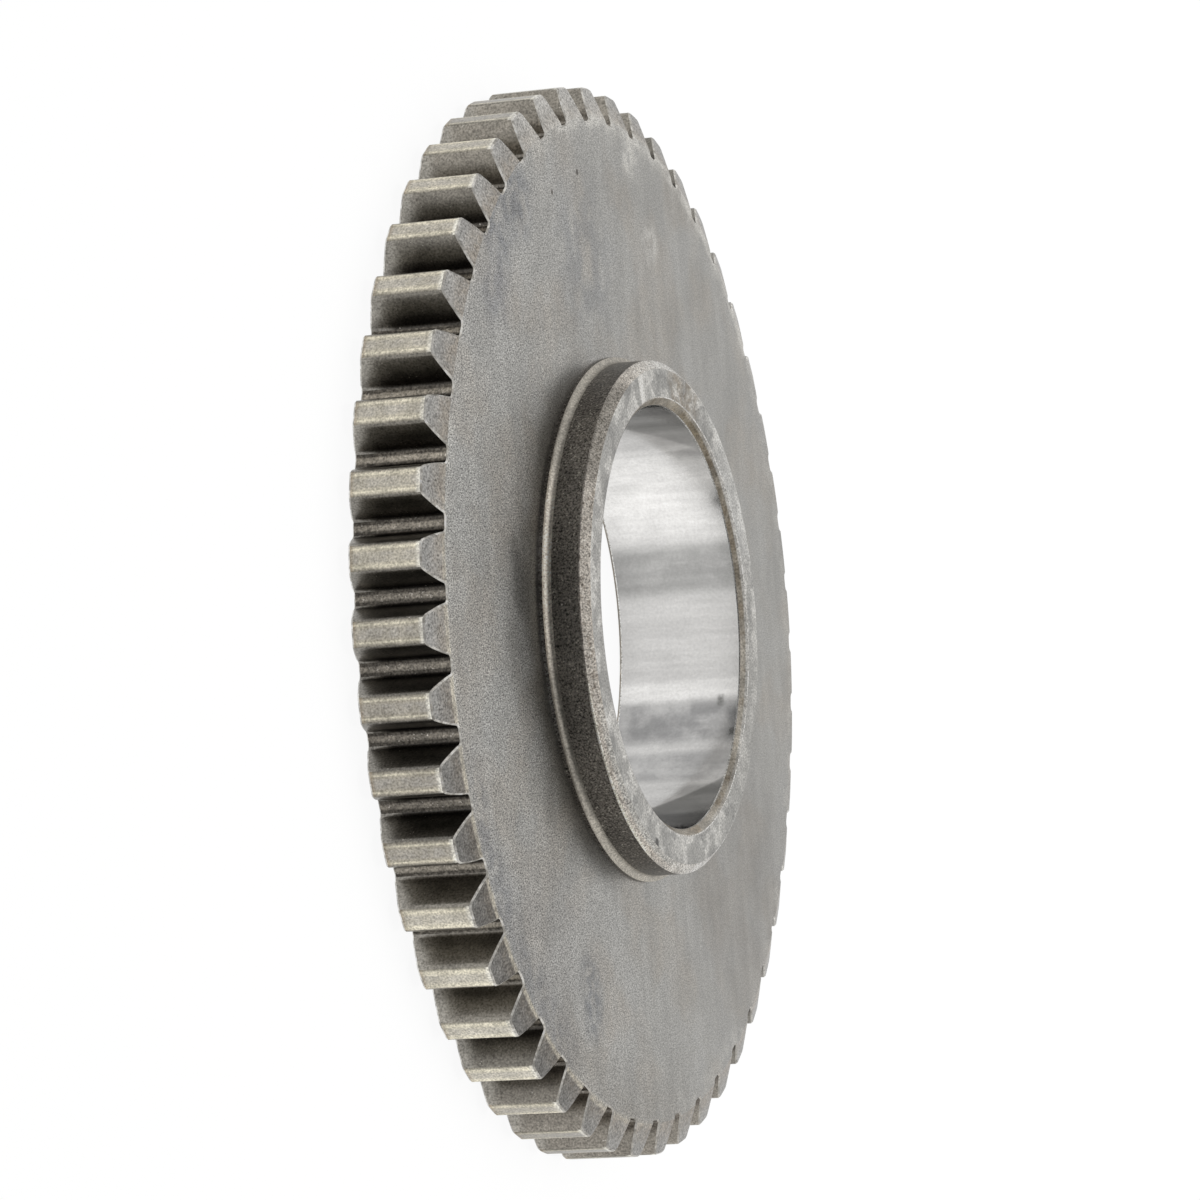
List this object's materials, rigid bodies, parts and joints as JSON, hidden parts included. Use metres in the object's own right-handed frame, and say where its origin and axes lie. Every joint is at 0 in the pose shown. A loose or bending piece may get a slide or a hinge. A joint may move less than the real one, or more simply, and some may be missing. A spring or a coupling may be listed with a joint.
{
  "type": "silent chain sprocket",
  "caption": "Toothed steel chain wheel with slanted tooth ends, a raised round hub and a plain through bore, for inverted-tooth chain.",
  "frame": {"origin": "centre of the bore on the plain back face, which is the bottom centre of the part's box", "axes": "+Z along the bore's axis from the back face towards the hub's front face; +X through the middle of one tooth; +Y completes the right-handed frame"},
  "size_m": [0.146, 0.146, 0.0192],
  "materials": {
    "steel": "machined matte steel with fine speckle, faint stains and bright worn edges"
  },
  "bodies": {
    "root": {"sprocket": "steel"}
  },
  "joints": []
}
